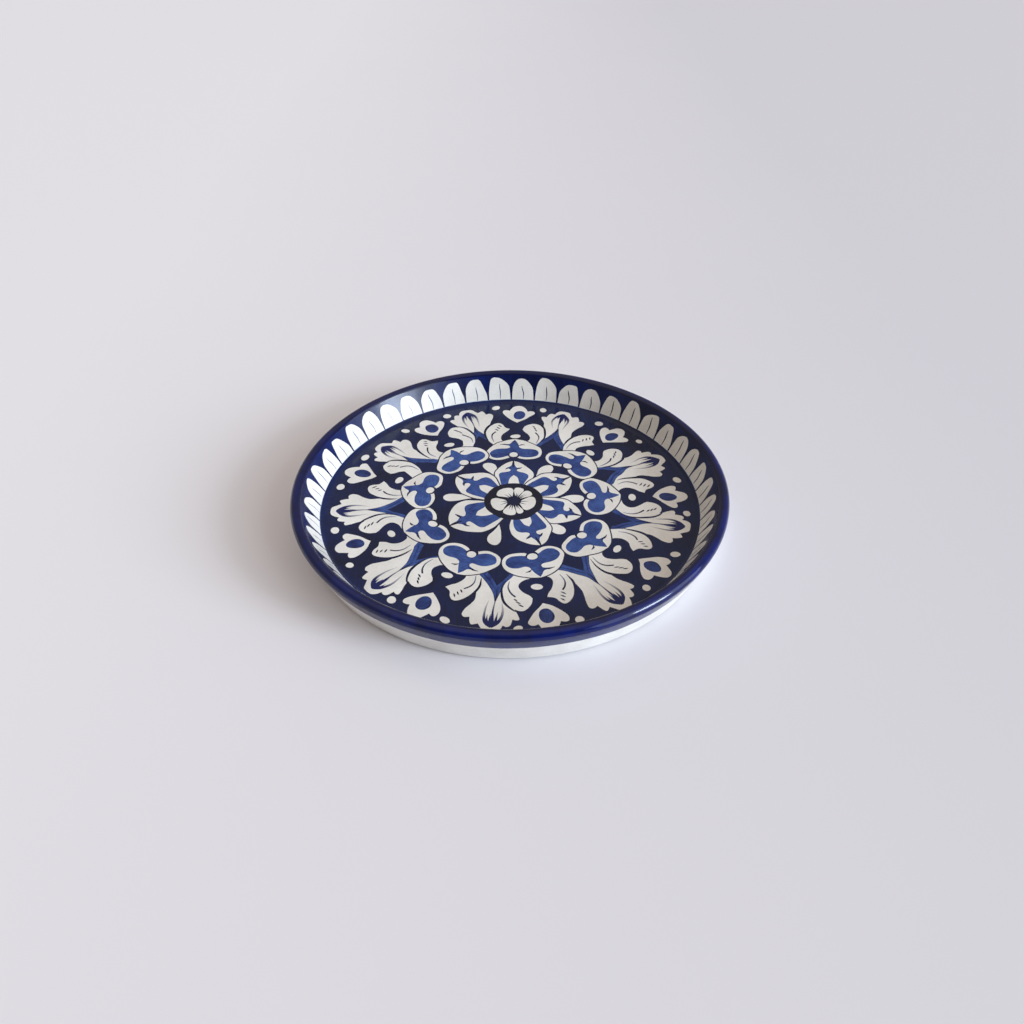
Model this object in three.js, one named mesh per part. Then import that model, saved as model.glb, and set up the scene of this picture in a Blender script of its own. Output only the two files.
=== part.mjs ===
// Round hand painted serving plate in glazed earthenware, millimetres, +Z up.
//
// The plate is a turned body: every piece is a ring or a disc about the Z axis, and its origin is
// where that axis meets the table. The clay is made as a potter puts it together: a flat slab for
// the well, a flared side wall, a rolled rim and a foot ring. Over it lie the glaze coats, each
// 0.5 mm thick: the painted well, the petal band on the inner wall, the cobalt rim, the white
// outside and the white underside. The foot ring alone is bare.
//
// A point of the section is given by its depth under the finished surface, 0 for the glazed
// surface and GLAZE for the clay. Both follow the same lines and arcs, so a coat and the clay
// under it share every vertex of the face where they meet.

import * as THREE from 'three';

const OUTER_RADIUS = 150;
const HEIGHT = 30.5;
const LIP_RADIUS = 4; // roundness of the rolled rim
const FLOOR_RADIUS = 131.5; // where the inner wall, drawn straight on, would reach the well
const FLOOR_HEIGHT = 9;
const WELL_ROUND = 6; // radius of the turn from the flat well up into the inner wall
const UNDERSIDE_HEIGHT = 3.5;
const HEEL_RADIUS = 2.5; // the rounded foot of the outer wall
const HEEL_CENTRE = 138.2; // radius at which that round is centred
const HEEL_HEIGHT = 0.6; // of its lowest point over the table
const GLAZE = 0.5;

const FOOT_OUTER = 137; // foot ring at its root, outside and inside
const FOOT_INNER = 126;
const FOOT_TAPER = 1.8; // how far its inner side leans in
const FOOT_CHAMFER = 0.6;

const PAINT_LINE = 17; // height at which the cobalt ends on the outside
const RIM_JOINT = 22; // height at which the rolled rim is joined to the side wall
const SEGMENTS = 64; // facets round the plate

const DEGREES = Math.PI / 180;
const SEAM = 48 * DEGREES; // how far up the turn the painted well gives way to the petal band

const lip = { r: OUTER_RADIUS - LIP_RADIUS, z: HEIGHT - LIP_RADIUS };
const heel = { r: HEEL_CENTRE, z: HEEL_HEIGHT + HEEL_RADIUS };

// Slope of a straight wall that runs from beside one round to beside another.
function tangentSlope(from, to, sideways) {
  const run = { r: to.r - from.r, z: to.z - from.z };
  return Math.atan2(run.z, run.r) + Math.asin(sideways / Math.hypot(run.r, run.z));
}

// The inner wall touches the round of the lip, and the outer wall that of the heel as well.
const innerFoot = { r: FLOOR_RADIUS, z: FLOOR_HEIGHT };
const INNER_SLOPE = tangentSlope(innerFoot, lip, LIP_RADIUS);
const OUTER_SLOPE = tangentSlope(heel, lip, HEEL_RADIUS - LIP_RADIUS);

const ROUND_START = FLOOR_RADIUS - WELL_ROUND * Math.tan(INNER_SLOPE / 2); // end of the flat well

function arc(centre, radius, from, to, steps) {
  const points = [];
  for (let i = 0; i <= steps; i++) {
    const angle = from + ((to - from) * i) / steps;
    points.push([centre.r + radius * Math.cos(angle), centre.z + radius * Math.sin(angle)]);
  }
  return points;
}

// Radius of the inner wall at a height, a given depth under its glazed surface.
function innerWall(height, depth) {
  const radius = FLOOR_RADIUS + (height - FLOOR_HEIGHT) / Math.tan(INNER_SLOPE);
  return [radius + depth / Math.sin(INNER_SLOPE), height];
}

// Radius of the outer wall at a height, a given depth under its glazed surface.
function outerWall(height, depth) {
  const touch = OUTER_SLOPE - 90 * DEGREES;
  const touchRadius = lip.r + LIP_RADIUS * Math.cos(touch);
  const touchHeight = lip.z + LIP_RADIUS * Math.sin(touch);
  const radius = touchRadius - (touchHeight - height) / Math.tan(OUTER_SLOPE);
  return [radius - depth / Math.sin(OUTER_SLOPE), height];
}

// The turn from the flat well into the inner wall, in two runs that meet at the paint's seam.
function wellTurn(depth, from, to, steps) {
  const centre = { r: ROUND_START, z: FLOOR_HEIGHT + WELL_ROUND };
  return arc(centre, WELL_ROUND + depth, from - 90 * DEGREES, to - 90 * DEGREES, steps);
}

const turnInWell = (depth) => wellTurn(depth, 0, SEAM, 3);
const turnInBand = (depth) => wellTurn(depth, SEAM, INNER_SLOPE, 1);

// From the top of the inner wall over the rim to the top of the outer wall.
function lipRound(depth) {
  const radius = LIP_RADIUS - depth;
  return [
    ...arc(lip, radius, INNER_SLOPE + 90 * DEGREES, 90 * DEGREES, 3),
    ...arc(lip, radius, 90 * DEGREES, 0, 4).slice(1),
    ...arc(lip, radius, 0, OUTER_SLOPE - 90 * DEGREES, 1).slice(1),
  ];
}

// From the foot of the outer wall in under the plate.
function heelRound(depth) {
  return arc(heel, HEEL_RADIUS - depth, OUTER_SLOPE - 90 * DEGREES, -90 * DEGREES, 4);
}

const CLAY_UNDERSIDE = UNDERSIDE_HEIGHT + GLAZE;

// A coat between two faces that are given in the same direction.
const coat = (face) => [...face(0), ...face(GLAZE).reverse()];

function slabSection() {
  return [
    [0, CLAY_UNDERSIDE],
    [FOOT_INNER, CLAY_UNDERSIDE],
    [ROUND_START, CLAY_UNDERSIDE],
    [ROUND_START, FLOOR_HEIGHT - GLAZE],
    [0, FLOOR_HEIGHT - GLAZE],
  ];
}

function sideWallSection() {
  return [
    [ROUND_START, CLAY_UNDERSIDE],
    [FOOT_OUTER, CLAY_UNDERSIDE],
    [FOOT_OUTER, HEEL_HEIGHT + GLAZE],
    ...heelRound(GLAZE).reverse(),
    outerWall(PAINT_LINE, GLAZE),
    outerWall(RIM_JOINT, GLAZE),
    innerWall(RIM_JOINT, GLAZE),
    ...turnInBand(GLAZE).reverse(),
    ...turnInWell(GLAZE).reverse().slice(1),
  ];
}

function rolledRimSection() {
  return [
    innerWall(RIM_JOINT, GLAZE),
    outerWall(RIM_JOINT, GLAZE),
    ...lipRound(GLAZE).reverse(),
  ];
}

function footRingSection() {
  return [
    [FOOT_INNER, CLAY_UNDERSIDE],
    [FOOT_INNER, UNDERSIDE_HEIGHT],
    [FOOT_INNER + FOOT_TAPER, FOOT_CHAMFER],
    [FOOT_INNER + FOOT_TAPER + FOOT_CHAMFER, 0],
    [FOOT_OUTER - FOOT_CHAMFER, 0],
    [FOOT_OUTER, HEEL_HEIGHT],
    [FOOT_OUTER, HEEL_HEIGHT + GLAZE],
    [FOOT_OUTER, CLAY_UNDERSIDE],
    [ROUND_START, CLAY_UNDERSIDE],
  ];
}

// The coats' faces run from the well out over the rim and down to the foot.
const wellFace = (depth) => [[0, FLOOR_HEIGHT - depth], ...turnInWell(depth)];

const petalBandFace = (depth) => [
  ...turnInBand(depth),
  innerWall(RIM_JOINT, depth),
  lipRound(depth)[0],
];

const rimFace = (depth) => [
  ...lipRound(depth),
  outerWall(RIM_JOINT, depth),
  outerWall(PAINT_LINE, depth),
];

const outsideFace = (depth) => [
  outerWall(PAINT_LINE, depth),
  ...heelRound(depth),
  [FOOT_OUTER, HEEL_HEIGHT + depth],
];

function undersideGlazeSection() {
  return [
    [0, UNDERSIDE_HEIGHT],
    [FOOT_INNER, UNDERSIDE_HEIGHT],
    [FOOT_INNER, CLAY_UNDERSIDE],
    [0, CLAY_UNDERSIDE],
  ];
}

// Area of a section in the r-z plane, positive where it runs anticlockwise.
function signedArea(section) {
  let sum = 0;
  section.forEach(([r, z], i) => {
    const [nextR, nextZ] = section[(i + 1) % section.length];
    sum += r * nextZ - nextR * z;
  });
  return sum / 2;
}

// A section that is turned about the Z axis, with its faces pointing out.
function turned(section) {
  const points = signedArea(section) > 0 ? [...section] : [...section].reverse();
  const start = points.findIndex(([r]) => r === 0);
  if (start >= 0) {
    while (points[0][0] !== 0 || points.at(-1)[0] !== 0) points.push(points.shift());
  } else {
    points.push(points[0]);
  }
  const outline = points.map(([r, z]) => new THREE.Vector2(r, z));
  return new THREE.LatheGeometry(outline, SEGMENTS).rotateX(90 * DEGREES);
}

function finish(color, roughness) {
  return new THREE.MeshStandardMaterial({ color, roughness, metalness: 0 });
}

function piece(name, section, material) {
  const mesh = new THREE.Mesh(turned(section), material);
  mesh.name = name;
  return mesh;
}

const clay = () => finish('#c9a184', 0.85);
const whiteGlaze = () => finish('#e9e9e4', 0.15);
const navyGlaze = () => finish('#23274b', 0.15);
const cobaltGlaze = () => finish('#16225c', 0.12);

const plate = new THREE.Group();
plate.add(
  piece('well_slab', slabSection(), clay()),
  piece('side_wall', sideWallSection(), clay()),
  piece('rolled_rim', rolledRimSection(), clay()),
  piece('foot_ring', footRingSection(), clay()),
  piece('well_glaze', coat(wellFace), navyGlaze()),
  piece('petal_band_glaze', coat(petalBandFace), whiteGlaze()),
  piece('rim_glaze', coat(rimFace), cobaltGlaze()),
  piece('outer_glaze', coat(outsideFace), whiteGlaze()),
  piece('underside_glaze', undersideGlazeSection(), whiteGlaze()),
);

export default plate;
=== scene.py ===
"""Hand painted round serving plate in glazed earthenware.

The clay parts and the glaze coats are solids turned about the Z axis, and all share one section.
The well and the inner wall carry the painting as real shapes: each brush shape is an outline in
millimetres, the surface is cut along all of them, and each face takes the paint that lies on top.
"""

import math
import random

import bmesh
import bpy
import numpy as np
from mathutils import Matrix, Vector, noise
from mathutils.geometry import delaunay_2d_cdt


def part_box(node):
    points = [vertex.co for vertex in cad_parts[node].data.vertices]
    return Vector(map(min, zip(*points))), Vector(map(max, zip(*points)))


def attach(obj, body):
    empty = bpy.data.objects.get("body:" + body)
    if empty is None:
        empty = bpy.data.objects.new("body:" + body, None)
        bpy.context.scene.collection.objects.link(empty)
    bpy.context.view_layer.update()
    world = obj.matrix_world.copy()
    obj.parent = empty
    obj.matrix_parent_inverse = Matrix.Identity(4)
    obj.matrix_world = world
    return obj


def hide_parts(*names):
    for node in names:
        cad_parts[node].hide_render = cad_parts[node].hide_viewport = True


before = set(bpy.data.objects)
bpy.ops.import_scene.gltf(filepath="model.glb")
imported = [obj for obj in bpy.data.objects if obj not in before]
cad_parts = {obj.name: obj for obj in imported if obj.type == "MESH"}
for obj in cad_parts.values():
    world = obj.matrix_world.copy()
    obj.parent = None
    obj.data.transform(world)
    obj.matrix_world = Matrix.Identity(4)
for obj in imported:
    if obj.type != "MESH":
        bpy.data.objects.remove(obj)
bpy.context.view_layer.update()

MM = 0.001
TURN = 2 * math.pi
HAND = random.Random(9)  # the unevenness of handwork


def low(node):
    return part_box(node)[0] / MM


def high(node):
    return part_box(node)[1] / MM


# == Sizes in millimetres, read off the nodes' boxes where these give them

OUTER_RADIUS = high("rim_glaze").x
HEIGHT = high("rim_glaze").z
UNDERSIDE_HEIGHT = low("underside_glaze").z
GLAZE = high("underside_glaze").z - UNDERSIDE_HEIGHT
FLOOR_HEIGHT = low("well_glaze").z + GLAZE
ROUND_START = high("well_slab").x  # end of the flat well
PAINT_LINE = high("outer_glaze").z
RIM_JOINT = low("rolled_rim").z
HEEL_HEIGHT = low("outer_glaze").z
FOOT_OUTER = high("foot_ring").x
FOOT_INNER = high("underside_glaze").x

FLOOR_RADIUS = 131.5  # where the inner wall, drawn straight on, would reach the well
WELL_ROUND = 6.0  # radius of the turn from the well up into the inner wall
SEAM = math.radians(48)  # how far up that turn the well's paint gives way to the petals'
LIP_RADIUS = 4.0
HEEL_RADIUS = 2.5
HEEL_CENTRE = 138.2
FOOT_TAPER = 1.8
FOOT_CHAMFER = 0.6

SEGMENTS = 288
ARC_STEP = math.radians(4)
QUARTER = math.radians(90)

lip = (OUTER_RADIUS - LIP_RADIUS, HEIGHT - LIP_RADIUS)
heel = (HEEL_CENTRE, HEEL_HEIGHT + HEEL_RADIUS)


def tangent_slope(start, end, sideways):
    """Slope of a straight wall that runs from beside one round to beside another."""
    run = (end[0] - start[0], end[1] - start[1])
    return math.atan2(run[1], run[0]) + math.asin(sideways / math.hypot(*run))


INNER_SLOPE = tangent_slope((FLOOR_RADIUS, FLOOR_HEIGHT), lip, LIP_RADIUS)
OUTER_SLOPE = tangent_slope(heel, lip, HEEL_RADIUS - LIP_RADIUS)


# == The section, given by its depth under the glazed surface


def arc(centre, radius, start, end):
    steps = max(1, math.ceil(abs(end - start) / ARC_STEP))
    angles = [start + (end - start) * i / steps for i in range(steps + 1)]
    return [(centre[0] + radius * math.cos(a), centre[1] + radius * math.sin(a)) for a in angles]


def inner_wall(height, depth):
    radius = FLOOR_RADIUS + (height - FLOOR_HEIGHT) / math.tan(INNER_SLOPE)
    return radius + depth / math.sin(INNER_SLOPE), height


def outer_wall(height, depth):
    touch = OUTER_SLOPE - QUARTER
    touch_radius = lip[0] + LIP_RADIUS * math.cos(touch)
    touch_height = lip[1] + LIP_RADIUS * math.sin(touch)
    radius = touch_radius - (touch_height - height) / math.tan(OUTER_SLOPE)
    return radius - depth / math.sin(OUTER_SLOPE), height


def well_turn(depth, start, end):
    centre = (ROUND_START, FLOOR_HEIGHT + WELL_ROUND)
    return arc(centre, WELL_ROUND + depth, start - QUARTER, end - QUARTER)


def lip_round(depth):
    radius = LIP_RADIUS - depth
    inside = arc(lip, radius, INNER_SLOPE + QUARTER, QUARTER)
    outside = arc(lip, radius, QUARTER, OUTER_SLOPE - QUARTER)
    return inside + outside[1:]


def heel_round(depth):
    return arc(heel, HEEL_RADIUS - depth, OUTER_SLOPE - QUARTER, -QUARTER)


clay_underside = UNDERSIDE_HEIGHT + GLAZE


def paint_line(angle):
    """Height at which the brush left the cobalt on the outside; it wanders a little."""
    wander = noise.noise(Vector((3 * math.cos(angle), 3 * math.sin(angle), 5.0)))
    quick = noise.noise(Vector((14 * math.cos(angle), 14 * math.sin(angle), 8.0)))
    return PAINT_LINE + 0.9 * wander + 0.35 * quick


def slab_section(_angle):
    return [
        (0, clay_underside),
        (FOOT_INNER, clay_underside),
        (ROUND_START, clay_underside),
        (ROUND_START, FLOOR_HEIGHT - GLAZE),
        (0, FLOOR_HEIGHT - GLAZE),
    ]


def side_wall_section(angle):
    return [
        (ROUND_START, clay_underside),
        (FOOT_OUTER, clay_underside),
        (FOOT_OUTER, HEEL_HEIGHT + GLAZE),
        *reversed(heel_round(GLAZE)),
        outer_wall(paint_line(angle), GLAZE),
        outer_wall(RIM_JOINT, GLAZE),
        inner_wall(RIM_JOINT, GLAZE),
        *reversed(well_turn(GLAZE, 0, INNER_SLOPE)),
    ]


def rolled_rim_section(_angle):
    return [
        inner_wall(RIM_JOINT, GLAZE),
        outer_wall(RIM_JOINT, GLAZE),
        *reversed(lip_round(GLAZE)),
    ]


def foot_ring_section(_angle):
    return [
        (FOOT_INNER, clay_underside),
        (FOOT_INNER, UNDERSIDE_HEIGHT),
        (FOOT_INNER + FOOT_TAPER, FOOT_CHAMFER),
        (FOOT_INNER + FOOT_TAPER + FOOT_CHAMFER, 0),
        (FOOT_OUTER - FOOT_CHAMFER, 0),
        (FOOT_OUTER, HEEL_HEIGHT),
        (FOOT_OUTER, HEEL_HEIGHT + GLAZE),
        (FOOT_OUTER, clay_underside),
        (ROUND_START, clay_underside),
    ]


def coat(face):
    """A coat's section, between its face and its back."""
    return face(0) + face(GLAZE)[::-1]


def rim_section(angle):
    def face(depth):
        end = [outer_wall(RIM_JOINT, depth), outer_wall(paint_line(angle), depth)]
        return lip_round(depth) + end

    return coat(face)


def outside_section(angle):
    def face(depth):
        start = outer_wall(paint_line(angle), depth)
        return [start, *heel_round(depth), (FOOT_OUTER, HEEL_HEIGHT + depth)]

    return coat(face)


def underside_section(_angle):
    return [
        (0, UNDERSIDE_HEIGHT),
        (FOOT_INNER, UNDERSIDE_HEIGHT),
        (FOOT_INNER, clay_underside),
        (0, clay_underside),
    ]


# == Solids

LEAN = 0.3  # how far the thrown rim is out of true, up and down and in and out
SHARP = math.radians(35)  # steepest bend that is still shaded as a round


def thrown(x, y, z):
    """A point in millimetres, moved as the plate warped in the kiln, in metres."""
    angle = math.atan2(y, x)
    out = min(1.0, math.hypot(x, y) / OUTER_RADIUS) ** 2 * z / HEIGHT
    swell = 1 + LEAN * out * math.sin(2 * angle + 0.7) / OUTER_RADIUS
    lift = LEAN * out * math.sin(3 * angle + 2.1)
    return Vector((x * swell, y * swell, z + lift)) * MM


def at(radius, angle, height):
    """A point at an angle that runs clockwise from the far side."""
    return thrown(radius * math.sin(angle), radius * math.cos(angle), height)


def angle_of(point):
    """That angle of a point."""
    return math.atan2(point.x, point.y)


def closed(items):
    """Each item with the one after it, and the last with the first."""
    return zip(items, items[1:] + items[:1])


def mesh_object(name, verts, faces):
    mesh = bpy.data.meshes.new(name)
    mesh.from_pydata(verts, [], faces)
    obj = bpy.data.objects.new(name, mesh)
    bpy.context.scene.collection.objects.link(obj)
    return obj


def face_outwards(obj):
    shape = bmesh.new()
    shape.from_mesh(obj.data)
    bmesh.ops.recalc_face_normals(shape, faces=shape.faces[:])
    shape.to_mesh(obj.data)
    shape.free()


def turned(name, section_at):
    """A solid whose section is turned about the plate's axis."""
    columns = [section_at(TURN * i / SEGMENTS) for i in range(SEGMENTS)]
    verts, rings = [], []
    for j, (first_radius, _) in enumerate(columns[0]):
        ring = []
        for i, column in enumerate(columns):
            if i == 0 or first_radius > 0:
                verts.append(at(column[j][0], TURN * i / SEGMENTS, column[j][1]))
            ring.append(len(verts) - 1)
        rings.append(ring)
    faces = []
    for ring, following in closed(rings):
        if ring[0] == ring[1] and following[0] == following[1]:
            continue
        for (a, b), (d, c) in zip(closed(ring), closed(following)):
            faces.append(list(dict.fromkeys([a, b, c, d])))
    obj = mesh_object(name, verts, faces)
    face_outwards(obj)
    obj.data.shade_smooth()
    obj.data.set_sharp_from_angle(angle=SHARP)
    return obj


# == Outlines

STEP = 0.6  # length of the pieces that a curved outline is made of


def through(points):
    """A smooth line through the points, without its last point."""
    line = [Vector(p) for p in points]
    padded = [2 * line[0] - line[1], *line, 2 * line[-1] - line[-2]]
    made = []
    for a, b, c, d in zip(padded, padded[1:], padded[2:], padded[3:]):
        count = max(1, math.ceil((c - b).length / STEP))
        for i in range(count):
            t = i / count
            made.append(
                0.5 * (2 * b + t * (c - a) + t * t * (2 * a - 5 * b + 4 * c - d)
                       + t * t * t * (3 * b - a - 3 * c + d))
            )
    return made


def outline(*runs):
    """A closed outline of smooth runs. Each run starts where the one before it ends."""
    starts = [run[0] for run in runs]
    made = []
    for run, following in zip(runs, starts[1:] + starts[:1]):
        made += through([*run, following])
    return made


def rounded(points):
    """A closed outline with no corner."""
    whole = through([points[-1], *points, points[0], points[1]])
    lead = math.ceil((Vector(points[0]) - Vector(points[-1])).length / STEP)
    tail = math.ceil((Vector(points[1]) - Vector(points[0])).length / STEP)
    return whole[max(1, lead): len(whole) - max(1, tail)]


def oval(x, y, half_wide, half_high, tilt=0.0, count=26):
    lean = math.radians(tilt)
    made = []
    for i in range(count):
        a = TURN * i / count
        dx, dy = half_wide * math.cos(a), half_high * math.sin(a)
        made.append(
            Vector((x + dx * math.cos(lean) - dy * math.sin(lean),
                    y + dx * math.sin(lean) + dy * math.cos(lean)))
        )
    return made


def stroke(points, widths):
    """A brush stroke along the points, whose width runs through the widths given."""
    line = through(points) + [Vector(points[-1])]
    left, right = [], []
    for i, p in enumerate(line):
        ahead = line[min(i + 1, len(line) - 1)] - line[max(i - 1, 0)]
        across = Vector((-ahead.y, ahead.x)).normalized()
        place = i / (len(line) - 1) * (len(widths) - 1)
        k = min(int(place), len(widths) - 2)
        half = 0.5 * (widths[k] + (widths[k + 1] - widths[k]) * (place - k))
        left.append(p + half * across)
        right.append(p - half * across)
    return left + right[::-1]


def grown(loop, by):
    """The same closed outline, larger all round."""
    area = sum(a.x * b.y - b.x * a.y for a, b in closed(loop))
    side = by if area > 0 else -by
    made = []
    for before, p, after in zip(loop[-1:] + loop[:-1], loop, loop[1:] + loop[:1]):
        along = (after - before).normalized()
        made.append(p + side * Vector((along.y, -along.x)))
    return made


# == A painting: shapes laid one over the other


class Painting:
    """Shapes in the plane of a surface, in millimetres, from the first laid to the last."""

    def __init__(self, ground):
        self.ground = ground
        self.shapes = []

    def lay(self, paint, loop, place, grain=((0, 0), (0, 10))):
        """One shape. place turns its own frame into the surface's. The grain is a line in its
        own frame along which the brush ran, and along which a feathered paint fades."""
        start, end = Vector(grain[0]), Vector(grain[1])
        length = (end - start).length
        along = (end - start) / length
        turn = Matrix((
            (along.y, -along.x, -start.x * along.y + start.y * along.x),
            (along.x, along.y, -start.dot(along)),
            (0, 0, 1),
        ))
        points = [(place @ Vector((p.x, p.y, 1))).xy for p in loop]
        own = turn @ place.inverted()
        self.shapes.append((paint, points, own, length, HAND.random()))


def placed(radius, degrees, tilt=0.0, wide=1.0, long=1.0):
    """A motif's own frame, whose y axis points away from the plate's centre before any tilt."""
    a = math.radians(degrees)
    b = -math.radians(degrees + tilt)
    x, y = radius * math.sin(a), radius * math.cos(a)
    return Matrix((
        (math.cos(b) * wide, -math.sin(b) * long, x),
        (math.sin(b) * wide, math.cos(b) * long, y),
        (0, 0, 1),
    ))


WAVER = 0.45  # how far the hand strays from an even outline
WAVER_LENGTH = 11.0


def wavered(p):
    q = Vector((p.x, p.y, 0)) / WAVER_LENGTH
    shift = Vector((noise.noise(q + Vector((0, 0, 3.3))), noise.noise(q + Vector((0, 0, 9.1)))))
    return p + 2 * WAVER * shift


def inside(loop, points):
    """Which of the points lie inside a closed outline."""
    x, y = points[:, 0:1], points[:, 1:2]
    a = np.array([(p.x, p.y) for p in loop])
    b = np.roll(a, -1, axis=0)
    crosses = (a[:, 1] > y) != (b[:, 1] > y)
    rise = np.where(b[:, 1] == a[:, 1], 1e-12, b[:, 1] - a[:, 1])
    reach = a[:, 0] + (y - a[:, 1]) * (b[:, 0] - a[:, 0]) / rise
    return (crosses & (x < reach)).sum(1) % 2 == 1


def cut(painting, extra_points, extra_lines, waver):
    """Triangles of the surface's plane, cut along every outline, with the paint of each."""
    points = list(extra_points)
    edges = []
    for line in extra_lines:
        edges += [(len(points) + i, len(points) + i + 1) for i in range(len(line) - 1)]
        points += line
    loops = []
    for _, loop, _, _, _ in painting.shapes:
        drawn = [waver(p) for p in loop]
        loops.append(drawn)
        count = len(drawn)
        edges += [(len(points) + i, len(points) + (i + 1) % count) for i in range(count)]
        points += drawn
    verts, _, faces, _, _, _ = delaunay_2d_cdt(points, edges, [], 0, 1e-4)
    flat = np.array([(v.x, v.y) for v in verts])
    tris = np.array(faces)
    middle = flat[tris].mean(1)
    top = np.full(len(tris), -1)
    for k, loop in enumerate(loops):
        corners = np.array([(p.x, p.y) for p in loop])
        near = np.all((middle > corners.min(0)) & (middle < corners.max(0)), axis=1)
        which = np.flatnonzero(near)
        if len(which):
            top[which[inside(loop, middle[which])]] = k
    return flat, tris, top


def paint_mesh(obj, painting, flat, tris, top, materials):
    """Gives the first faces of a mesh their paint, and each corner its place in its brush shape."""
    names = list(materials)
    for name in names:
        obj.data.materials.append(materials[name])
    slots = np.full(len(obj.data.polygons), names.index(painting.ground))
    corners = np.zeros((len(obj.data.loops), 4), np.float32)
    for i, (tri, k) in enumerate(zip(tris, top)):
        if k < 0:
            corners[3 * i: 3 * i + 3, :2] = flat[tri]
            continue
        paint, _, own, length, seed = painting.shapes[k]
        slots[i] = names.index(paint)
        for j, v in enumerate(tri):
            p = own @ Vector((flat[v][0], flat[v][1], 1))
            corners[3 * i + j] = (p.x, p.y, p.y / length, seed)
    obj.data.polygons.foreach_set("material_index", slots)
    attribute = obj.data.attributes.new("brush", "FLOAT_COLOR", "CORNER")
    attribute.data.foreach_set("color", corners.ravel())


# == Motifs of the well, each drawn in its own frame with y away from the plate's centre

# Where the painter set each copy: radius, and angle clockwise from the far side.
BLOOMS = [(57, 2.8), (60, 45.7), (58, 84.5), (61, 127.5), (60, 166), (61, 204.6), (58, 245.3),
          (59, 283.3), (58, 324.2)]
HEARTS = [(82, 3), (85, 46), (87, 87.6), (88, 126), (89, 169), (86, 208), (87.5, 246.7),
          (85, 287.8), (85, 326.7)]
BUDS = [(112.6, 3.8), (113, 44.7), (112.5, 88), (115, 127), (115, 169), (114.5, 208),
        (113, 246.6), (114, 287.6), (112, 326.7)]
PALMETTES = [(125, 21), (127, 66), (127, 103.6), (129, 146), (127, 185.6), (128, 225),
             (126, 265.5), (124, 305), (125, 343.6)]
PALMETTE_FOOT = 76.0  # radius on which the palmettes' stems stand
PALMETTE_LENGTH = 51.0  # of a palmette as drawn, from its tip to there
DOT_RADIUS, DOT_ANGLE = 123, 9  # the two dots beside each bud
FLOWER = (3.05, 66.8)  # the middle flower sits a little off centre
FLOWER_PETALS = [(47.5, 0, 14.3), (50, 56, 14.5), (50, 111, 14), (52, 160, 14), (52, 238, 18.5),
                 (50.5, 305, 15)]  # tip radius, angle, half width
FLOWER_DROPS = [(50, 34), (50, 87.5), (50, 137), (50, 197), (50, 275), (50, 336)]
PETAL_FOOT, PETAL_LENGTH, PETAL_HALF = 20, 27.5, 14.2  # of a petal as drawn
FLOWER_LOBES = [(-65, -1, 14.8), (1, 32, 15.2), (34, 70, 14.6), (73, 145, 15.6),
                (148, 173, 14.6), (175, 213, 16), (216, 283, 16.2)]  # from, to, radius


def bloom(well, place):
    body = outline(
        [(0.3, 21.2), (-5.5, 19.6), (-12, 15.8), (-17.5, 10.3), (-20.7, 4.5), (-20.8, 0.5),
         (-18.8, -3.4), (-14.5, -6), (-9.5, -6.6), (-5.8, -5.4)],
        [(-3.2, -3.8), (0, -2.4)],
        [(3.4, -3.6), (5, -4.9), (9.5, -6), (15.5, -5.2), (19.6, -2.2), (21.3, 3.2),
         (20.3, 8.6), (17, 12.8), (12.5, 16.4), (6.8, 19.6)],
    )
    blue = outline(
        [(0.4, 20.4), (-1.6, 17.8), (-3.6, 14.8), (-8, 14.2)],
        [(-10.6, 13.5), (-6.5, 13), (-3.7, 12)],
        [(-2.9, 10.2), (-4.6, 8.6), (-10.5, 8.1), (-15.6, 6.2), (-18.4, 2), (-16.4, -2.6),
         (-12.6, -4.2), (-8.5, -3.7), (-4.4, -1.6)],
        [(0, 0), (4.6, -1.6)],
        [(4.8, -1.7), (8.5, -3.1), (13.6, -3.1), (17.6, -0.8), (18.9, 3.2), (17, 6.8),
         (13, 8.1), (7.6, 8.2), (4.6, 10)],
        [(3.9, 12.2), (2.4, 16.2)],
    )
    well.lay("line", grown(body, 0.9), place)
    well.lay("white", body, place)
    well.lay("blue", blue, place, ((-18, 0), (18, 3)))
    well.lay("line", stroke([(-11, 13.4), (-7, 14), (-3, 13.2)], [0.3, 1.3, 0.2]), place)
    well.lay("line", stroke([(3.6, 12), (5.4, 13.6), (8.4, 13.9)], [0.2, 1.5, 0.3]), place)
    well.lay("ground", oval(0.2, -0.7, 4.3, 3.7, 10), place)
    well.lay("white", oval(0.1, 0.4, 3.4, 3.0, HAND.uniform(-30, 30)), place)


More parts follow.
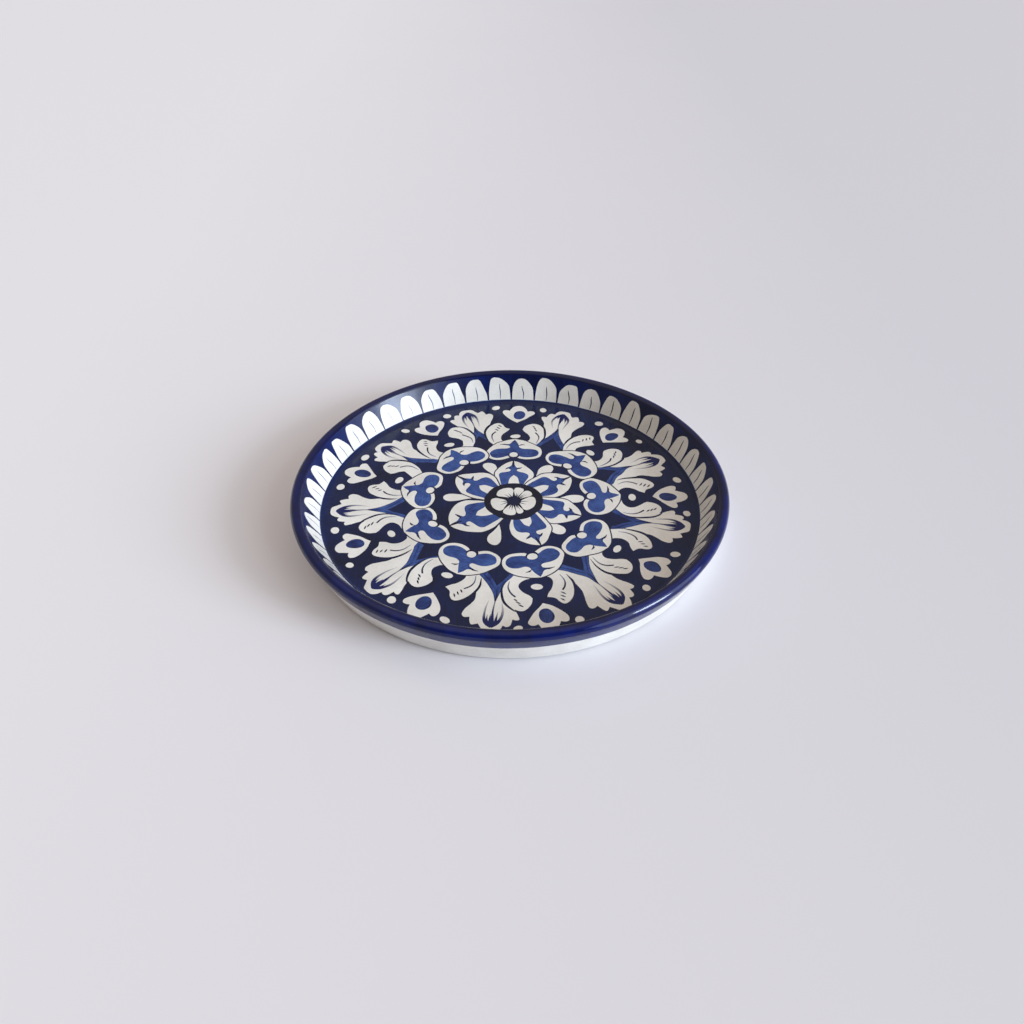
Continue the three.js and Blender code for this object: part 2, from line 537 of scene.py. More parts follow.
def heart(well, place):
    """The leaves that close round the dark heart over a bloom, and the dot in it."""
    left = outline(
        [(-3, -9), (-8, -8.2), (-10.6, -5), (-11, -1.2), (-9.4, 3.2), (-6.4, 6.8)],
        [(-4.6, 10), (-8.6, 12), (-11, 16), (-14, 18), (-17.6, 16.6), (-20.8, 12.6),
         (-22.5, 6.6), (-22.4, -0.4), (-20.3, -7), (-17, -11.6)],
        [(-14, -15), (-6, -14)],
    )
    right = outline(
        [(0, -8.4), (7, -7.4), (10.6, -4.6), (11.4, -0.8), (9.8, 3.4), (6.8, 6.9)],
        [(5.4, 9.6), (7.2, 14.2), (10.5, 17.6), (14, 18.5), (18, 16.6), (21, 12.1),
         (22.5, 5.6), (21.8, -1.4), (18.8, -7.4), (14.5, -11.6)],
        [(11, -15), (2, -14)],
    )
    outer_left = [(-12.6, 19), (-18.2, 17.6), (-22, 12.8), (-23.4, 6), (-23, -1), (-20.6, -8)]
    outer_right = [(13, 19.4), (18.8, 17.4), (22.2, 12.2), (23.4, 5), (22.4, -2), (18.6, -9)]
    well.lay("line", stroke(outer_left, [0.4, 1.6, 2.2, 2.2, 1.6, 0.3]), place)
    well.lay("line", stroke(outer_right, [0.4, 1.2, 1.7, 1.7, 1.2, 0.3]), place)
    well.lay("white", left, place)
    well.lay("white", right, place)
    for side, spread in ((-1, 0), (1, 0.6)):
        for i in range(3):
            x, y = side * (13.2 + 1.0 * i + spread), 14.2 - 2.7 * i
            slant = HAND.uniform(0.8, 1.6)
            dash = [(x - slant, y + 1.2), (x + slant, y - 1.3)]
            well.lay("line", stroke(dash, [0.4, 1.2, 0.4]), place)
        vein = [(15.4, 6), (17.6, 2.2), (18.2, -2.6), (16.2, -8.6)]
        vein = [(side * x, y) for x, y in vein]
        well.lay("faded_line", stroke(vein, [1.2, 1.1, 0.9, 0.4]), place, ((0, 6), (0, -9)))
    well.lay("white", oval(0, 0, 3.9, 2.6, HAND.uniform(-18, 12)), place)


def bud(well, place):
    body = outline(
        [(-0.8, -11), (-5, -7.8), (-9.1, -3.6), (-12, 0.6), (-13, 4), (-12, 6.8), (-9.6, 7.2)],
        [(-7.3, 6.2), (-6, 9), (-4, 12.2), (-0.4, 13.8), (3, 12.8), (5.4, 9.4)],
        [(6.8, 5.2), (9, 5.8), (11.6, 5.2), (12.6, 2.6), (11, -0.2), (6.6, -4.6), (2.4, -8)],
    )
    well.lay("white", body, place)
    lean = HAND.uniform(-14, 4)
    well.lay("deep_blue", oval(0, 0, 4.8, 6.3, lean), place, ((0, -6), (2, 6)))
    well.lay("line", stroke([(-3.6, -2), (-3.9, 1.2), (-2.2, 4.8)], [0.2, 0.9, 0.2]), place)


def tongue(well, place):
    """The dark tongue of a palmette: strokes pulled from its tip that run dry towards its foot."""
    edges = [
        [(0, -4.2), (-3.4, -7.6), (-5.6, -12), (-6, -17.5), (-4.4, -27)],
        [(0, -4.2), (3.2, -7.6), (5.2, -12), (5.4, -18), (3.6, -28)],
    ]
    for edge in edges:
        foot = edge[-1]
        well.lay("feather", stroke(edge, [1.4, 2.4, 1.6, 1.1, 0.3]), place, ((0, -5), foot))
    for i in range(4):
        x = -3.3 + 2.2 * i + HAND.uniform(-0.3, 0.3)
        reach = HAND.uniform(15, 21) - 0.7 * abs(x)
        pull = [(0.3 * x, -5.0), (0.85 * x, -9.0), (1.05 * x, -reach)]
        well.lay("feather", stroke(pull, [1.6, 2.2, 1.2, 0.1]), place, ((0, -8), (0, -reach - 5)))
    middle = [(0, -5), (-0.2, -12), (0, -27)]
    well.lay("feather", stroke(middle, [1.6, 1.9, 1.1, 0.7]), place, ((0, -8), (0, -38)))


def palmette(well, place):
    """The fan leaf between two blooms. Its tip is at its own origin."""
    body = outline(
        [(-0.4, 0), (-3.8, -0.6), (-6, -3)],
        [(-7.2, -6.4), (-9.4, -5.6), (-11.4, -7)],
        [(-12.3, -11.8), (-14.4, -11.4), (-16.2, -12.6), (-15, -16.4), (-12.8, -20.4),
         (-11.8, -25), (-12, -32), (-13, -42)],
        [(-16, -54), (0, -40)],
        [(16.5, -54), (14, -44), (12.6, -36), (12.5, -28), (14.8, -23), (17.6, -18.4),
         (18.8, -14), (17, -11.6)],
        [(13.8, -12), (13.4, -9), (11.8, -5.6)],
        [(8, -7), (6.4, -4.6), (4, -0.9)],
    )
    stem = outline(
        [(0, -26), (-1.5, -33), (-4, -40), (-8.6, -47)],
        [(-14, -53.5), (-8.2, -54.5)],
        [(-7.6, -54), (-4.4, -48), (-1.8, -43.4)],
        [(0.3, -40.5), (2.2, -44), (5.4, -48.6)],
        [(8.6, -53.5), (15, -53.5)],
        [(15, -53), (9.2, -46), (4.6, -39), (1.6, -33)],
    )
    well.lay("line", grown(body, 0.8), place)
    well.lay("white", body, place)
    well.lay("ground", outline([(0, -39), (-9, -56)], [(0, -60), (9, -56)]), place)
    well.lay("line", grown(stem, 0.35), place)
    well.lay("blue", stem, place, ((0, -26), (0, -53)))
    for foot in (-11, 11.6):
        edge = [(0.1 * foot, -38), (0.45 * foot, -44.5), (foot, -52.5)]
        well.lay("deep_blue", stroke(edge, [0.4, 1.3, 0.8]), place, ((0, -38), (foot, -52)))
    tongue(well, place)
    well.lay("line", stroke([(0, -25), (-0.3, -32), (0, -38)], [0.5, 1.1, 0.3]), place)


def in_flower(place):
    """The same frame, moved from the plate's centre to the middle flower's."""
    centre = placed(*FLOWER)
    place[0][2] += centre[0][2]
    place[1][2] += centre[1][2]
    return place


def flower_petal(well, tip, degrees, half_width):
    """One of the six petals round the middle, stretched from its foot to reach its tip."""
    wide = half_width / PETAL_HALF
    long = (tip - PETAL_FOOT) / PETAL_LENGTH
    body = outline(
        [(0, 47.6), (-3.8, 46), (-8, 42.6), (-12, 37.4), (-13.8, 33), (-13.4, 27), (-12, 21.6)],
        [(-9.6, 16), (8, 16)],
        [(8.2, 18.6), (10.8, 22.2), (13.2, 25.8), (14.2, 29.4), (14, 33.4), (12, 37.8),
         (8.6, 42), (4.4, 45.4)],
    )
    blue = outline(
        [(0, 46.4), (-0.8, 43.6), (-2.4, 41)],
        [(-4.6, 39.8), (-5.8, 37.8), (-3.6, 38.4)],
        [(-2, 37.4), (-2.2, 35.4)],
        [(-4.4, 34.4), (-8.8, 33.8), (-10.7, 31.8), (-10.7, 28.4), (-10, 23.8)],
        [(-8.6, 16), (7, 16)],
        [(7.4, 19), (9.2, 23.6), (10.3, 27.4), (9.8, 30.8), (7.2, 32.8), (4.4, 33.6)],
        [(2.8, 35), (3, 36.4)],
        [(5, 37.8), (6.6, 39.2), (4.4, 39.2)],
        [(3, 38.8), (1.6, 41.4), (0.5, 44.4)],
    )
    lozenge = outline(
        [(0, 29.8), (-2.4, 27.2), (-3.6, 23.6)],
        [(-4.2, 17), (3.6, 17)],
        [(3.3, 23.6), (2.4, 27)],
    )
    place = in_flower(placed(PETAL_FOOT * (1 - long), degrees, 0, wide, long))
    well.lay("line", grown(body, 0.9), place)
    well.lay("white", body, place)
    well.lay("blue", blue, place, ((0, 20), (0, 46)))
    well.lay("line", stroke([(0, 47.8), (0, 43), (0.2, 39.5)], [0.9, 2.0, 0.4]), place)
    well.lay("line", stroke([(-5.8, 37.6), (-4, 39), (-1.6, 39.8)], [0.6, 1.3, 0.3]), place)
    well.lay("line", stroke([(6.6, 39.4), (4.4, 38.2), (2, 38.6)], [0.6, 1.3, 0.3]), place)
    well.lay("white", lozenge, place)


def drop(well, tip, degrees):
    """A pale drop between two petals of the flower."""
    body = outline([(0, -22), (-2.2, -15), (-4.1, -9), (-4.2, -4), (-2.2, -0.6), (1, 0),
                    (3.8, -2.6), (4.4, -7.8), (2.4, -15)])
    well.lay("white", body, in_flower(placed(tip, degrees, HAND.uniform(-6, 6))))


def lobe(start, end, radius):
    """A petal of the small white flower, in polar form about its middle."""
    middle = (start + end) / 2
    half = (end - start) / 2
    made = []
    for share, reach in ((-0.5, 0.34), (-0.93, 0.62), (-1, 0.8), (-0.8, 0.95), (-0.3, 1.02),
                         (0.3, 1.02), (0.8, 0.96), (1, 0.8), (0.93, 0.62), (0.5, 0.34)):
        a = math.radians(middle + share * half)
        made.append((radius * reach * math.sin(a), radius * reach * math.cos(a)))
    return rounded(made)


def flower_middle(well):
    place = in_flower(placed(0, 0))
    well.lay("black", oval(0, -0.6, 20.8, 20.8, 0, 90), place)
    for start, end, radius in FLOWER_LOBES:
        well.lay("white", lobe(start, end, radius), place)
        for share in (0.35, 0.62):
            a = math.radians(start + share * (end - start))
            near, far = 5, HAND.uniform(9, 11.5)
            line = [(near * math.sin(a), near * math.cos(a)), (far * math.sin(a), far * math.cos(a))]
            well.lay("faded_line", stroke(line, [0.9, 0.6, 0.2]), place, (line[0], line[1]))
    well.lay("line", oval(0, 0, 5.2, 5.0, 0, 30), place)


def palmette_place(i, radius, degrees):
    """Frame of a palmette whose tip is given and whose foot stands midway between two blooms."""
    before, after = BLOOMS[i][1], BLOOMS[(i + 1) % len(BLOOMS)][1]
    off = math.radians(degrees - (before + (after - before) % 360 / 2))
    foot = PALMETTE_FOOT
    lean = math.atan2(foot * math.sin(off), radius - foot * math.cos(off))
    return placed(radius, degrees, math.degrees(lean), 1, (radius - foot) / PALMETTE_LENGTH)


def draw_well():
    well = Painting("ground")
    for i, (radius, degrees) in enumerate(PALMETTES):
        palmette(well, palmette_place(i, radius, degrees))
    for radius, degrees in HEARTS:
        heart(well, placed(radius, degrees))
    for radius, degrees in BLOOMS:
        bloom(well, placed(radius, degrees, HAND.uniform(-2, 2)))
    for radius, degrees in BUDS:
        bud(well, placed(radius, degrees, HAND.uniform(-5, 5)))
        for side in (-1, 1):
            radius = DOT_RADIUS + HAND.uniform(-1, 1)
            dot = placed(radius, degrees + side * DOT_ANGLE, HAND.uniform(-20, 20))
            wide, long = HAND.uniform(2.8, 3.5), HAND.uniform(2.3, 3.0)
            well.lay("white", oval(0, 0, wide, long, HAND.uniform(-40, 40), 18), dot)
    for tip, degrees in FLOWER_DROPS:
        drop(well, tip, degrees)
    for petal in FLOWER_PETALS:
        flower_petal(well, *petal)
    flower_middle(well)
    return well


# == The petal band on the inner wall, drawn on the wall laid flat

BAND_RADIUS = 138.0  # radius at which the band laid flat has its true length
BAND_LENGTH = TURN * BAND_RADIUS
PETALS = 51
PETAL_GAP = 0.5  # bare wall on each side of a petal
SEAM_GAP = 0.06  # between the seam and the strip of cobalt above it, whose paler tones are a painted highlight


def petal_angle(i):
    """The petals stand a little wider apart at the far side than at the near side."""
    even = TURN * (i + 0.58) / PETALS
    return even + 0.15 * math.sin(even)


def petal(half, tall):
    """A broad petal, often fuller on one side, that stands on the band's lower edge."""
    foot = HAND.uniform(0.2, 0.5)
    tip = HAND.uniform(-0.45, 0.3) * half
    left_shoulder = HAND.uniform(0.58, 0.72) * tall
    right_shoulder = HAND.uniform(0.48, 0.68) * tall
    fullness = HAND.uniform(0.9, 0.97)
    left = [(-half * 0.98, foot), (-half * 0.96, 0.32 * tall), (-half * 0.86, left_shoulder),
            (tip - 0.48 * (half + tip), fullness * tall)]
    right = [(tip + 0.4 * (half - tip), 0.93 * tall), (half * 0.8, right_shoulder),
             (half * 0.94, 0.28 * tall)]
    base = [(half * 0.98, foot)]
    if HAND.random() < 0.2:
        return outline(left, [(tip, tall), *right], base)
    return outline([*left, (tip, tall), *right], base)


def draw_band(start):
    band = Painting("wall_ground")
    for i in range(PETALS):
        left, middle, right = (petal_angle(i + k) for k in (-0.5, 0, 0.5))
        x = (middle - start) * BAND_RADIUS
        half = (right - left) / 2 * BAND_RADIUS - PETAL_GAP
        tall = HAND.uniform(BAND_HEIGHT - 4.0, BAND_HEIGHT - 1.0)
        body = petal(half, tall)
        place = Matrix(((1, 0, x), (0, 1, 0), (0, 0, 1)))
        end = half + 0.9 * PETAL_GAP
        # A strip of cobalt along each petal's foot; its paler tones are a painted highlight along
        # the turn into the wall.
        edge = [(-end, SEAM_GAP), (end, SEAM_GAP), (end, 0.5), (0, HAND.uniform(0.4, 0.9)),
                (-end, 0.5)]
        band.lay("cobalt_edge_and_highlight", [Vector(p) for p in edge], place, ((0, 0), (10, 0)))
        band.lay("wall_white", body, place, ((0, 0), (0, 10)))
        reach = HAND.uniform(0.64, 0.84) * tall
        sway = HAND.uniform(-1.8, 0.4)
        vein = [(0.4, 0.8), (0.6 + 0.1 * sway, 0.45 * reach), (0.6 * sway, 0.8 * reach),
                (sway, reach)]
        painted_shade_side = math.sin(middle)  # painted shade: veins on the right, the wall's shaded side, are dark navy and a little wider, and on the lit left they are a paler blue
        widths = [(0.85 + 0.3 * painted_shade_side) * width for width in (0.5, 0.8, 1.0, 0.9, 0.3)]
        band.lay("line" if painted_shade_side > 0.1 else "deep_blue", stroke(vein, widths), place)
    return band


# == The two painted coats

WELL_REACH = ROUND_START + WELL_ROUND * SEAM  # the well laid flat, out to the seam
BAND_TURN = WELL_ROUND * (INNER_SLOPE - SEAM)  # length of the turn that the band covers
BAND_TOP = lip[1] + LIP_RADIUS * math.cos(INNER_SLOPE)
PITCH = 4.0  # distance between the points of the bare ground
BAND_LEVELS = [5, 9, 13, 17]  # heights up the band at which its triangles end
TURN_RINGS = 8  # steps of the painted well up the turn


def turn_point(turn):
    """Point of the section on the turn, at an angle from the level well."""
    out, up = WELL_ROUND * math.sin(turn), WELL_ROUND * (1 - math.cos(turn))
    return ROUND_START + out, FLOOR_HEIGHT + up


BAND_HEIGHT = BAND_TURN + (BAND_TOP - turn_point(INNER_SLOPE)[1]) / math.sin(INNER_SLOPE)


def well_surface(x, y):
    """Where a point of the well laid flat really lies, and the surface's direction there."""
    length = math.hypot(x, y)
    if length <= ROUND_START:
        return thrown(x, y, FLOOR_HEIGHT), Vector((0, 0, 1))
    turn = (length - ROUND_START) / WELL_ROUND
    radius, height = turn_point(turn)
    out = Vector((x, y)) / length
    normal = Vector((-out.x * math.sin(turn), -out.y * math.sin(turn), math.cos(turn)))
    return thrown(out.x * radius, out.y * radius, height), normal


def band_surface(x, y, start):
    """The same for the band laid flat: x is round the plate and y is up the wall."""
    angle = start if x > BAND_LENGTH - 1e-3 else start + x / BAND_RADIUS
    turn = min(INNER_SLOPE, SEAM + y / WELL_ROUND)
    radius, height = turn_point(turn)
    rest = max(0.0, y - BAND_TURN)
    radius += rest * math.cos(INNER_SLOPE)
    height += rest * math.sin(INNER_SLOPE)
    lean = math.sin(turn)
    normal = Vector((-math.sin(angle) * lean, -math.cos(angle) * lean, math.cos(turn)))
    return at(radius, angle, height), normal


def circle(radius):
    angles = [TURN * i / SEGMENTS for i in range(SEGMENTS + 1)]
    return [Vector((radius * math.sin(a), radius * math.cos(a))) for a in angles]


def between(radius):
    """Points that keep the triangles of the bare ground regular."""
    made = []
    for ring in range(1, int(radius / PITCH)):
        count = max(6, round(TURN * ring))
        phase = HAND.random()
        for i in range(count):
            a = TURN * (i + phase) / count
            made.append(Vector((ring * PITCH * math.sin(a), ring * PITCH * math.cos(a))))
    return made


def borders(faces):
    """Closed loops of the edges that belong to one face alone."""
    edges = dict.fromkeys(edge for face in faces for edge in closed(face))
    border = {a: b for a, b in edges if (b, a) not in edges}
    loops = []
    while border:
        first = next(iter(border))
        loop = [first]
        while border[loop[-1]] != first:
            loop.append(border[loop[-1]])
        for v in loop:
            border.pop(v)
        loops.append(loop)
    return loops


def coat_object(name, painting, laid_flat, surface, back, materials):
    """A closed coat: the painted face, its edges, and the back that lies on the clay."""
    flat, tris, top = laid_flat
    verts, normals, index, seen = [], [], [], {}
    for x, y in flat:
        point, normal = surface(x, y)
        key = tuple(point)
        if key not in seen:
            seen[key] = len(verts)
            verts.append(point)
            normals.append(normal)
        index.append(seen[key])
    faces = [[index[v] for v in tri] for tri in tris]
    painted = len(faces)
    faces += back(borders(faces), verts)
    obj = mesh_object(name, verts, faces)
    paint_mesh(obj, painting, flat, tris, top, materials)
    mesh = obj.data
    mesh.shade_smooth()
    shading = []
    for i, polygon in enumerate(mesh.polygons):
        for v in polygon.vertices:
            shading.append(normals[v] if i < painted else polygon.normal)
    mesh.normals_split_custom_set(shading)
    return obj


def joined(loop, ring):
    """Faces between two closed rings of as many points."""
    return [[b, a, c, d] for (a, b), (c, d) in zip(closed(loop), closed(ring))]


def edge_faces(loop, verts, section_point):
    """A strip from a loop of the painted face down to a ring at a point of the section."""
    radius, height = section_point
    ring = []
    for v in loop:
        ring.append(len(verts))
        verts.append(at(radius, angle_of(verts[v]), height))
    return ring, joined(loop, ring)


def make_well(materials):
    well = draw_well()
    turn = WELL_REACH - ROUND_START
    rings = [ROUND_START + turn * i / TURN_RINGS for i in range(TURN_RINGS + 1)]
    lines = [circle(radius) for radius in [ROUND_START - 2, *rings]]
    laid = cut(well, between(ROUND_START - 3), lines, wavered)

    def back(loops, verts):
        ring = loops[0]
        faces = []
        for point in reversed(well_turn(GLAZE, 0, SEAM)):
            ring, strip = edge_faces(ring, verts, point)
            faces += strip
        verts.append(thrown(0, 0, FLOOR_HEIGHT - GLAZE))
        middle = len(verts) - 1
        return faces + [[b, a, middle] for a, b in closed(ring)]

    return coat_object("painted_well", well, laid, well_surface, back, materials)


def make_band(materials):
    start = petal_angle(-0.5)
    band = draw_band(start)
    bends = [0, BAND_TURN / 2, BAND_TURN, BAND_HEIGHT]
    levels = sorted(bends + BAND_LEVELS)
    places = [BAND_LENGTH * i / SEGMENTS for i in range(SEGMENTS + 1)]
    lines = [[Vector((x, y)) for y in levels] for x in places]
    lines += [[Vector((x, y)) for x in places] for y in bends]
    laid = cut(band, [], lines, lambda p: p)

    def back(loops, verts):
        lower, upper = sorted(loops, key=lambda loop: verts[loop[0]].z)
        turn = well_turn(GLAZE, SEAM, INNER_SLOPE)
        low_ring, low_faces = edge_faces(lower, verts, turn[0])
        for point in turn[1:]:
            low_ring, strip = edge_faces(low_ring, verts, point)
            low_faces += strip
        high_ring, high_faces = edge_faces(upper, verts, lip_round(GLAZE)[0])
        high_ring.reverse()
        angle = angle_of(verts[low_ring[0]])
        gaps = [abs(math.remainder(angle_of(verts[v]) - angle, TURN)) for v in high_ring]
        nearest = gaps.index(min(gaps))
        high_ring = high_ring[nearest:] + high_ring[:nearest]
        return low_faces + high_faces + joined(low_ring, high_ring)

    def surface(x, y):
        return band_surface(x, y, start)

    return coat_object("petal_band", band, laid, surface, back, materials)


# == Materials


def srgb(red, green, blue):
    def linear(c):
        c /= 255
        return c / 12.92 if c <= 0.04045 else ((c + 0.055) / 1.055) ** 2.4

    return linear(red), linear(green), linear(blue), 1.0


class Nodes:
    """A tree of nodes, added one by one."""

    def __init__(self, tree):
        self.tree = tree

    def node(self, kind, inputs, output=0, **settings):
        made = self.tree.nodes.new("ShaderNode" + kind)
        for key, value in settings.items():
            setattr(made, key, value)
        for key, value in inputs.items():
            self.put(made, key, value)
        return made.outputs[output]

    def put(self, node, key, value):
        if isinstance(value, bpy.types.NodeSocket):
            self.tree.links.new(value, node.inputs[key])
        else:
            node.inputs[key].default_value = value

    def math(self, operation, a, b=0.0, c=0.0):
        return self.node("Math", {0: a, 1: b, 2: c}, operation=operation)

    def spread(self, value, low_in, high_in, low_out=0.0, high_out=1.0, **settings):
        inputs = {
            "Value": value,
            "From Min": low_in,
            "From Max": high_in,
            "To Min": low_out,
            "To Max": high_out,
        }
        return self.node("MapRange", inputs, **settings)


class Shader(Nodes):
    """A material's nodes, around its Principled shader."""

    def __init__(self, name):
        self.material = bpy.data.materials.new(name)
        self.material.use_nodes = True
        super().__init__(self.material.node_tree)
        self.main = self.tree.nodes["Principled BSDF"]

    def place(self):
        """The point on the object, in metres, so a noise's scale is so many to the metre."""
        return self.node("TexCoord", {}, "Object")

    def brush(self):
        """Across and along the brush shape in millimetres, then the share of its length, and
        apart from these a number between 0 and 1 that is the shape's own."""
        attribute = self.tree.nodes.new("ShaderNodeAttribute")
        attribute.attribute_name = "brush"
        return attribute.outputs["Color"], attribute.outputs["Alpha"]

    def noise(self, vector, scale, detail=3.0, roughness=0.5, distortion=0.0):
        inputs = {
            "Vector": vector,
            "Scale": scale,
            "Detail": detail,
            "Roughness": roughness,
            "Distortion": distortion,
        }
        return self.node("TexNoise", inputs, "Fac")

    def total(self, a, a_share, b, b_share):
        return self.math("MULTIPLY_ADD", a, a_share, self.math("MULTIPLY", b, b_share))

    def mix(self, share, a, b):
        made = self.tree.nodes.new("ShaderNodeMix")
        made.data_type = "RGBA"
        self.put(made, 0, share)
        self.put(made, 6, a)
        self.put(made, 7, b)
        return made.outputs[2]

    def stretched(self, vector, x, y, z=0.0):
        return self.node("Mapping", {"Vector": vector, "Scale": (x, y, z)})

    def set(self, key, value):
        self.put(self.main, key, value)

    def bump(self, height, strength, distance):
        inputs = {"Height": height, "Strength": strength, "Distance": distance}
        self.set("Normal", self.node("Bump", inputs))


GLOSS = 0.2  # roughness of the painted coats where they are glossiest
SATIN = 0.42  # of the white outside
RIM_GLOSS = 0.06
PAINT_IOR = 1.38
RIM_IOR = 1.42
RIM_FADE = 1.5  # how far each way from the lip's crest the near black fades into the cobalt
THIN_COBALT = 6  # height over the paint line up to which the cobalt is thinner


def glazed(shader, colour, gloss=GLOSS, ior=PAINT_IOR):
    """The clear glaze over a colour: glossy, softly uneven, with a few pinholes."""
    place = shader.place()
    shader.set("Base Color", colour)
    patches = shader.noise(place, 22.0, 2.0)
    shader.set("Roughness", shader.spread(patches, 0.3, 0.7, gloss, 1.5 * gloss))
    shader.set("IOR", ior)
    waves = shader.noise(place, 55.0, 2.0)
    skin = shader.noise(place, 420.0, 2.0)
    pits = shader.spread(shader.noise(place, 900.0, 1.0), 0.26, 0.33)
    height = shader.math("MULTIPLY_ADD", skin, 0.12, waves)
    height = shader.math("MULTIPLY_ADD", pits, 0.05, height)
    shader.bump(height, 0.35, 0.0006)
    return shader.material


def flat_glaze(name, dark, light):
    """A laid ground: blotches and the drag of a broad brush."""
    shader = Shader(name)
    place = shader.place()
    blotches = shader.noise(place, 28.0, 4.0, 0.6)
    drag = shader.noise(shader.stretched(place, 9, 1, 1), 90.0)
    both = shader.total(drag, 0.35, blotches, 0.8)
    colour = shader.mix(shader.spread(both, 0.4, 0.75), dark, light)
    return glazed(shader, colour)


def washed_blue(name, dark, light):
    """Thin cobalt: streaks along the brush, darker where the colour pooled."""
    shader = Shader(name)
    brush, seed = shader.brush()
    streaks = shader.noise(shader.stretched(brush, 1.1, 0.16), 1.0, 3.0, 0.6, 0.4)
    pools = shader.noise(shader.place(), 130.0, 3.0, 0.6)
    both = shader.total(streaks, 0.55, pools, 0.6)
    both = shader.math("MULTIPLY_ADD", seed, 0.12, both)
    colour = shader.mix(shader.spread(both, 0.42, 0.8), dark, light)
    return glazed(shader, colour)


def faded(name, dark, light, start, end):
    """A stroke that runs dry: it starts dark and ends in the white under it."""
    shader = Shader(name)
    brush, _ = shader.brush()
    share = shader.node("SeparateXYZ", {0: brush}, 2)
    streaks = shader.noise(shader.stretched(brush, 1.6, 0.12), 1.0, 3.0, 0.6)
    ragged = shader.math("MULTIPLY_ADD", streaks, 0.5, shader.math("SUBTRACT", share, 0.25))
    dry = shader.spread(ragged, start, end)
    colour = shader.mix(dry, dark, light)
    return glazed(shader, colour)


WHITE_DARK = srgb(218, 215, 208)
WHITE_LIGHT = srgb(241, 239, 234)


def white_glaze(name, gloss=GLOSS):
    """Opaque white over a warm body, a little cloudy."""
    shader = Shader(name)
    place = shader.place()
    clouds = shader.noise(place, 40.0, 4.0, 0.6)
    grain = shader.noise(place, 700.0, 2.0)
    both = shader.total(grain, 0.25, clouds, 0.85)
    colour = shader.mix(shader.spread(both, 0.35, 0.75), WHITE_DARK, WHITE_LIGHT)
    return glazed(shader, colour, gloss)


def cobalt_glaze():
    """Cobalt on the rim: near black inside, and thinner and paler towards the paint line."""
    shader = Shader("cobalt_rim")
    place = shader.place()
    level = shader.node("VectorMath", {0: place, 1: (1, 1, 0)}, operation="MULTIPLY")
    radius = shader.node("VectorMath", {0: level}, 1, operation="LENGTH")
    inner, outer = (lip[0] - RIM_FADE) * MM, (lip[0] + RIM_FADE) * MM
    outside = shader.spread(radius, inner, outer, 0.25, 1.0)
    clouds = shader.noise(place, 35.0, 4.0, 0.6)
    drips = shader.noise(shader.stretched(place, 1, 1, 0.2), 160.0)
    height = shader.node("SeparateXYZ", {0: place}, 2)
    thick = shader.spread(height, PAINT_LINE * MM, (PAINT_LINE + THIN_COBALT) * MM)
    both = shader.spread(shader.total(drips, 0.4, clouds, 0.7), 0.35, 0.75)
    deep = shader.mix(both, srgb(2, 9, 48), srgb(4, 27, 104))
    thin = shader.mix(both, srgb(2, 14, 76), srgb(8, 34, 116))
    colour = shader.mix(thick, thin, deep)
    colour = shader.mix(outside, srgb(4, 9, 46), colour)
    return glazed(shader, colour, RIM_GLOSS, RIM_IOR)


def bare_clay():
    """Fired buff clay with dark specks and fine grit."""
    shader = Shader("bare_clay")
    place = shader.place()
    clouds = shader.noise(place, 60.0, 5.0, 0.65)
    specks = shader.spread(shader.noise(place, 1500.0, 1.0), 0.66, 0.72)
    warm = shader.mix(shader.spread(clouds, 0.3, 0.7), srgb(176, 132, 100), srgb(212, 172, 138))
    colour = shader.mix(shader.math("MULTIPLY", specks, 0.5), warm, srgb(110, 74, 52))
    shader.set("Base Color", colour)
    shader.set("Roughness", shader.spread(clouds, 0.3, 0.7, 0.78, 0.92))
    grit = shader.noise(place, 1200.0, 3.0)
    shader.bump(grit, 0.5, 0.0005)
    return shader.material


def paints():
    return {
        "ground": flat_glaze("navy_ground", srgb(4, 13, 42), srgb(12, 31, 80)),
        "wall_ground": flat_glaze("wall_ground", srgb(3, 10, 45), srgb(10, 31, 92)),
        "black": flat_glaze("ink_ground", srgb(6, 9, 26), srgb(16, 22, 52)),
        "white": white_glaze("white_reserve"),
        "wall_white": white_glaze("petal_white"),
        "blue": washed_blue("washed_blue", srgb(18, 38, 98), srgb(62, 92, 158)),
        "deep_blue": washed_blue("deep_blue", srgb(8, 20, 70), srgb(44, 68, 132)),
        # Cobalt at the petals' foot, painted paler in part as a highlight along the turn into the
        # wall.
        "cobalt_edge_and_highlight": washed_blue("cobalt_edge_and_highlight", srgb(20, 44, 104), srgb(120, 150, 200)),
        "line": flat_glaze("navy_line", srgb(8, 12, 36), srgb(20, 32, 74)),
        "feather": faded("feathered_blue", srgb(14, 26, 84), WHITE_LIGHT, 0.3, 1.25),
        "faded_line": faded("faded_line", srgb(14, 26, 60), srgb(150, 160, 182), 0.3, 1.3),
    }


# == Pieces


def finish_piece(obj, node, material=None):
    if material:
        obj.data.materials.append(material)
    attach(obj, "root")
    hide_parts(node)


def make_pieces():
    clay = bare_clay()
    white = white_glaze("white_outside", SATIN)
    cobalt = cobalt_glaze()
    turned_pieces = [
        ("clay_slab", "well_slab", slab_section, "bare_clay", clay),
        ("clay_wall", "side_wall", side_wall_section, "bare_clay", clay),
        ("clay_rim", "rolled_rim", rolled_rim_section, "bare_clay", clay),
        ("clay_foot", "foot_ring", foot_ring_section, "bare_clay", clay),
        ("cobalt_rim", "rim_glaze", rim_section, "cobalt_glaze", cobalt),
        ("white_outside", "outer_glaze", outside_section, "white_glaze", white),
        ("white_underside", "underside_glaze", underside_section, "white_glaze", white),
    ]
    for name, node, section, slot, material in turned_pieces:
        finish_piece(turned(name, section), node, material)
    colours = paints()
    finish_piece(make_well(colours), "well_glaze")
    finish_piece(make_band(colours), "petal_band_glaze")


# == Studio


